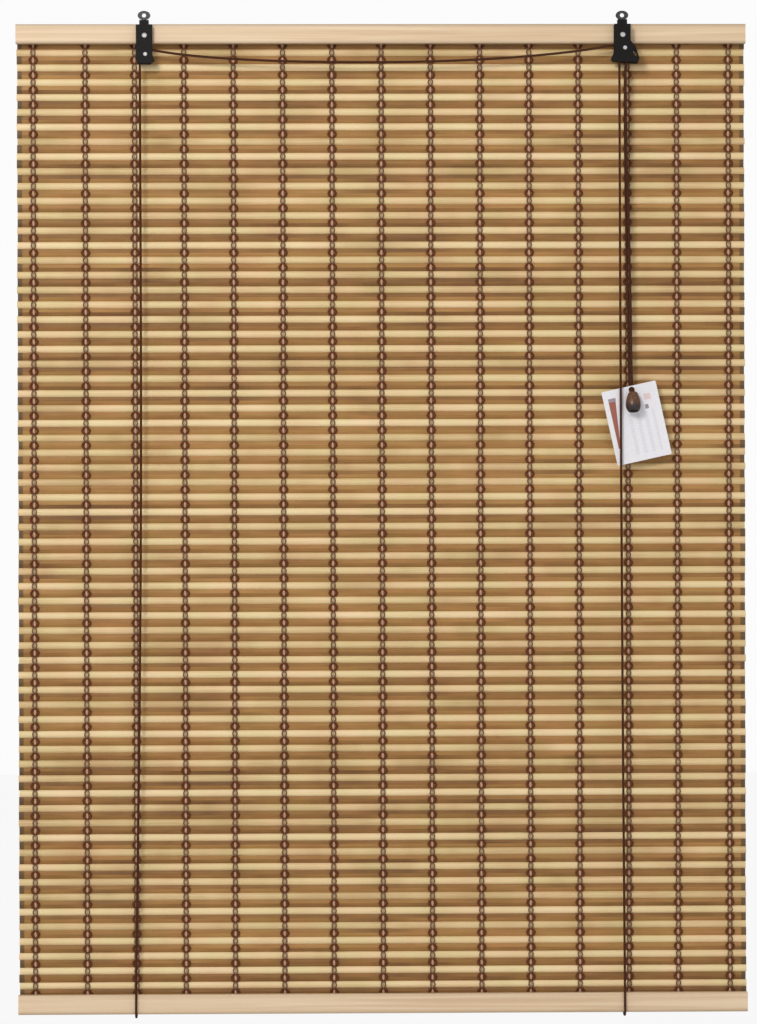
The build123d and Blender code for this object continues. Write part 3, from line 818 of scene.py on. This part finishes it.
# The pull knob: an acorn, turned about an axis that leans back at its top
knob_top = Vector((309.0, -4.8, -465.1)) * MM
knob_tilt = math.radians(15)
knob_height = 24.0 * MM
knob_top_radius, knob_radius, knob_end_radius = 5.4 * MM, 9.25 * MM, 6.7 * MM
knob_belly_depth = 15.8 * MM
knob_bore_radius, knob_cavity_radius = 4.0 * MM, 5.6 * MM
knob_cavity_depth = 13.0 * MM
knob_lip = 0.6 * MM
knob_shoulder_fullness, knob_foot_fullness = 0.9, 0.8
knob_sides, knob_steps = 48, 24


def knob_outline():
    """Radius and depth down the outside, then up the cavity and the bore."""
    outside = []
    for step in range(knob_steps + 1):
        depth = knob_height * step / knob_steps
        if depth < knob_belly_depth:
            rise = math.sin(math.pi / 2 * depth / knob_belly_depth) ** knob_shoulder_fullness
            radius = knob_top_radius + (knob_radius - knob_top_radius) * rise
        else:
            share = (depth - knob_belly_depth) / (knob_height - knob_belly_depth)
            fall = max(math.cos(math.pi / 2 * share), 0.0) ** knob_foot_fullness
            radius = knob_end_radius + (knob_radius - knob_end_radius) * fall
        outside.append((radius, depth))
    outside[0] = (knob_top_radius, knob_lip)
    outside[-1] = (knob_end_radius, knob_height - knob_lip / 2)
    floor = knob_height - knob_cavity_depth
    inside = [
        (knob_end_radius - knob_lip / 2, knob_height),
        (knob_cavity_radius + knob_lip / 2, knob_height),
        (knob_cavity_radius, knob_height - knob_lip),
        (knob_cavity_radius, floor),
        (knob_bore_radius, floor),
        (knob_bore_radius, knob_lip),
        (knob_bore_radius + knob_lip / 2, 0.0),
        (knob_top_radius - knob_lip, 0.0),
    ]
    return outside + inside


def knob_mesh():
    """The acorn's mesh, in its place."""
    turned = bmesh.new()
    rings = []
    for radius, depth in knob_outline():
        angles = [2 * math.pi * side / knob_sides for side in range(knob_sides)]
        rings.append([turned.verts.new((radius * math.cos(a), radius * math.sin(a), -depth)) for a in angles])
    for ring, following in zip(rings, rings[1:] + rings[:1]):
        for side in range(knob_sides):
            after = (side + 1) % knob_sides
            turned.faces.new((ring[side], ring[after], following[after], following[side]))
    bmesh.ops.recalc_face_normals(turned, faces=turned.faces)
    turned.transform(Matrix.Translation(knob_top) @ Matrix.Rotation(-knob_tilt, 4, "X"))
    data = bpy.data.meshes.new("acorn_knob")
    turned.to_mesh(data)
    turned.free()
    smooth_by_angle(data, degrees=50)
    return data


# Cords' routes, from the back of the head rail to the knob, in metres
left_route = [
    (-0.2962, 0.0224, -0.0189), (-0.3049, 0.0225, -1.22), (-0.3049, 0.0204, -1.2266),
    (-0.3049, 0.0158, -1.2314), (-0.3049, 0.0102, -1.2335), (-0.3049, 0.0048, -1.2335),
    (-0.3049, 0.0009, -1.2306), (-0.3049, -0.0006, -1.2254), (-0.3048, 0.0014, -1.206),
    (-0.3046, 0.0014, -1.188), (-0.303, 0.0012, -1.07), (-0.2992, 0.0008, -0.841),
    (-0.2964, 0.0003, -0.52), (-0.2971, 0.0, -0.0623), (-0.2971, 0.0, -0.0443),
    (-0.2917, 0.0, -0.0402), (-0.272, 0.0, -0.0444), (-0.24, 0.0, -0.0488),
    (-0.19, 0.0, -0.0532), (-0.13, 0.0, -0.056), (-0.07, 0.0, -0.0574),
    (-0.01, 0.0, -0.0577), (0.05, 0.0, -0.057), (0.11, 0.0, -0.055),
    (0.165, 0.0, -0.0516), (0.215, 0.0, -0.0472), (0.253, 0.0, -0.0426),
    (0.2785, 0.0, -0.038), (0.30096, 0.0, -0.0334), (0.3056, 0.0, -0.0358),
    (0.3075, 0.0, -0.0406), (0.3006, 0.0, -0.0594), (0.3004, 0.0003, -0.095),
    (0.3005, 0.0011, -0.145), (0.301, 0.0021, -0.205), (0.302, 0.003, -0.265),
    (0.3031, 0.0037, -0.325), (0.304, 0.0042, -0.38), (0.3046, 0.0044, -0.42),
    (0.305, 0.0043, -0.441), (0.3054, 0.0042, -0.4515), (0.306, 0.0036, -0.459),
    (0.3066, 0.0012, -0.4627), (0.3071, -0.0029, -0.4639), (0.30745, -0.0051, -0.4677),
    (0.30745, -0.00765, -0.47572),
]
right_route = [
    (0.2923, 0.0224, -0.0189), (0.2978, 0.0225, -1.22), (0.2978, 0.0204, -1.2266),
    (0.2978, 0.0158, -1.2314), (0.2978, 0.0102, -1.2335), (0.2978, 0.0048, -1.2335),
    (0.2978, 0.0009, -1.2306), (0.2978, -0.0006, -1.2254), (0.2978, 0.0014, -1.206),
    (0.2977, 0.0013, -1.188), (0.2959, -0.0002, -0.9), (0.2938, -0.0029, -0.42),
    (0.2933, -0.0049, -0.078), (0.2932, -0.005, -0.0562), (0.2932, -0.005, -0.0382),
    (0.2964, -0.005, -0.0343), (0.3014, -0.005, -0.0335), (0.3057, -0.005, -0.036),
    (0.3074, -0.005, -0.0407), (0.3006, -0.005, -0.0595), (0.3009, -0.0043, -0.095),
    (0.3016, -0.0031, -0.145), (0.3029, -0.0015, -0.205), (0.3046, 0.0, -0.265),
    (0.3062, 0.0017, -0.325), (0.3073, 0.0032, -0.38), (0.3078, 0.004, -0.42),
    (0.3082, 0.0043, -0.441), (0.3086, 0.0042, -0.4515), (0.3092, 0.0036, -0.459),
    (0.30975, 0.0012, -0.4627), (0.31025, -0.0029, -0.4639), (0.31055, -0.0051, -0.4677),
    (0.31055, -0.00765, -0.47572),
]
cord_diameter = 3.0 * MM


def lift_cord(name, route, node):
    """A braided cord along its route."""
    data = bpy.data.curves.new(name, "CURVE")
    data.dimensions = "3D"
    data.bevel_depth = cord_diameter / 2
    data.bevel_resolution = 3
    data.use_fill_caps = True
    data.resolution_u = 8
    line = data.splines.new("NURBS")
    line.points.add(len(route) - 1)
    for point, place in zip(line.points, route):
        point.co = (*place, 1.0)
    line.order_u = 3
    line.use_endpoint_u = True
    obj = bpy.data.objects.new(name, data)
    bpy.context.scene.collection.objects.link(obj)
    data.materials.append(cord_braid)
    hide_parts(node)
    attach(obj, "blind")


# The mat
light_slats = add_mesh(
    "light_slats",
    slat_rows(
        "light_rows",
        slat_template("light_slat", light_section(), slat_length),
        bamboo_light,
        count=light_count,
        first_z=first_light,
        tilt=light_tilt,
        lift=light_bow,
        seed=light_seed,
    ),
    bamboo_light,
)
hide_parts("bamboo_mat")
dark_slats = add_mesh(
    "dark_slats",
    slat_rows(
        "dark_rows",
        slat_template("dark_slat", dark_section(), slat_length),
        bamboo_dark,
        count=light_count - 1,
        first_z=first_light - slat_pitch / 2,
        tilt=dark_tilt,
        lift=dark_bow,
        seed=dark_seed,
    ),
    bamboo_dark,
)

# Warp cords, one for each of the model's
warp_cord = warp_tree()
for node_name in sorted(name for name in nodes if name.startswith("warp_")):
    low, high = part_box(node_name)
    mesh = warp_cord.make(place=(low.x + high.x) / 2)
    smooth_by_angle(mesh, degrees=80)
    piece = add_mesh(node_name.replace("warp", "warp_yarns"), mesh, warp_yarn)
    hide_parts(node_name)

# The pull knob
acorn_knob = add_mesh("acorn_knob", knob_mesh(), turned_wood)
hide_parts("pull_knob")

# Finishes of the modelled pieces
finishes = {
    "head_rail": head_wood,
    "bottom_rail": foot_wood,
    "left_bracket": enamel,
    "lock_housing": enamel,
    "left_eye": eye_steel,
    "right_eye": eye_steel,
    "bracket_screws": bright_steel,
    "axle_rivets": bright_steel,
    "spacer_tubes": bright_steel,
    "head_staples": bright_steel,
    "bottom_staples": bright_steel,
    "cord_staples": bright_steel,
    "left_pulley": nylon,
    "lock_pulley_rear": nylon,
    "lock_pulley_front": nylon,
    "lock_roller": aged_brass,
    "end_knots": cord_braid,
    "pull_knot": cord_braid,
    "hang_tag": card,
}
for node_name, material in finishes.items():
    slots = nodes[node_name].data.materials
    slots.clear()
    slots.append(material)

# Cords
lift_cord("left_lift_cord", left_route, "left_cord")
lift_cord("right_lift_cord", right_route, "right_cord")


# Studio: a floor that shows mostly plain white, which leaves a faint shadow, and two square lamps
floor_glow = 0.93
background_white = 0.97
floor_height = -1.6
floor_half = 9.0
world_light = 0.46
lamp_target = (0.0, 0.0, -0.62)
key_place, key_size, key_watts, key_tint = (-1.3, -3.1, 1.3), 0.9, 68.0, (1.0, 0.98, 0.96)
fill_place, fill_size, fill_watts, fill_tint = (1.4, -3.0, -1.5), 2.4, 13.0, (0.98, 0.98, 1.0)


def seen_directly(tree):
    """1 for a ray that shows a background: from the camera, a gloss or glass."""
    rays = tree.nodes.new("ShaderNodeLightPath").outputs
    seen = math_node(tree, "MAXIMUM", rays["Is Camera Ray"], rays["Is Glossy Ray"])
    return math_node(tree, "MAXIMUM", seen, rays["Is Transmission Ray"])


def studio_floor():
    """A near-white floor some way below the blind."""
    mesh = bpy.data.meshes.new("floor")
    corners = [
        (-floor_half, -floor_half, floor_height),
        (floor_half, -floor_half, floor_height),
        (floor_half, floor_half, floor_height),
        (-floor_half, floor_half, floor_height),
    ]
    mesh.from_pydata(corners, [], [(0, 1, 2, 3)])
    obj = bpy.data.objects.new("floor", mesh)
    bpy.context.scene.collection.objects.link(obj)
    material = finish_material("white_floor", 0.9, gloss=0.1)
    tree = material.node_tree
    shader = tree.nodes["Principled BSDF"]
    shader.inputs["Base Color"].default_value = (0.95, 0.95, 0.95, 1)
    white = tree.nodes.new("ShaderNodeEmission")
    white.inputs["Strength"].default_value = background_white
    blend = tree.nodes.new("ShaderNodeMixShader")
    socket(tree, blend.inputs[0], math_node(tree, "MULTIPLY", seen_directly(tree), floor_glow))
    tree.links.new(shader.outputs[0], blend.inputs[1])
    tree.links.new(white.outputs[0], blend.inputs[2])
    tree.links.new(blend.outputs[0], tree.nodes["Material Output"].inputs["Surface"])
    mesh.materials.append(material)


def studio_world():
    """Soft white light all round, and a plain white background."""
    world = bpy.data.worlds.new("studio")
    world.use_nodes = True
    tree = world.node_tree
    background = tree.nodes["Background"]
    background.inputs["Color"].default_value = (1.0, 1.0, 1.0, 1)
    extra = background_white - world_light
    strength = math_node(tree, "MULTIPLY_ADD", seen_directly(tree), extra, world_light)
    tree.links.new(strength, background.inputs["Strength"])
    bpy.context.scene.world = world


def area_lamp(name, place, target, size, watts, tint):
    """A square area lamp that looks at a point."""
    data = bpy.data.lights.new(name, "AREA")
    data.size = size
    data.energy = watts
    data.color = tint
    obj = bpy.data.objects.new(name, data)
    obj.location = place
    obj.rotation_euler = (Vector(target) - Vector(place)).to_track_quat("-Z", "Y").to_euler()
    bpy.context.scene.collection.objects.link(obj)


studio_floor()
studio_world()
area_lamp("key", key_place, lamp_target, key_size, key_watts, key_tint)
area_lamp("fill", fill_place, lamp_target, fill_size, fill_watts, fill_tint)

# Camera
camera = bpy.data.cameras.new("camera")
camera.sensor_fit = "VERTICAL"
camera.sensor_height = sensor_height
camera.lens = focal_px * sensor_height / photo_height
camera_object = bpy.data.objects.new("camera", camera)
camera_object.location = camera_place
yaw = Matrix.Rotation(math.radians(camera_yaw), 4, "Z")
pitch = Matrix.Rotation(math.radians(90 + camera_pitch), 4, "X")
roll = Matrix.Rotation(math.radians(-camera_roll), 4, "Z")
camera_object.rotation_euler = (yaw @ pitch @ roll).to_euler()
bpy.context.scene.collection.objects.link(camera_object)
bpy.context.scene.camera = camera_object
bpy.context.scene.view_settings.view_transform = "Standard"

bpy.context.view_layer.update()
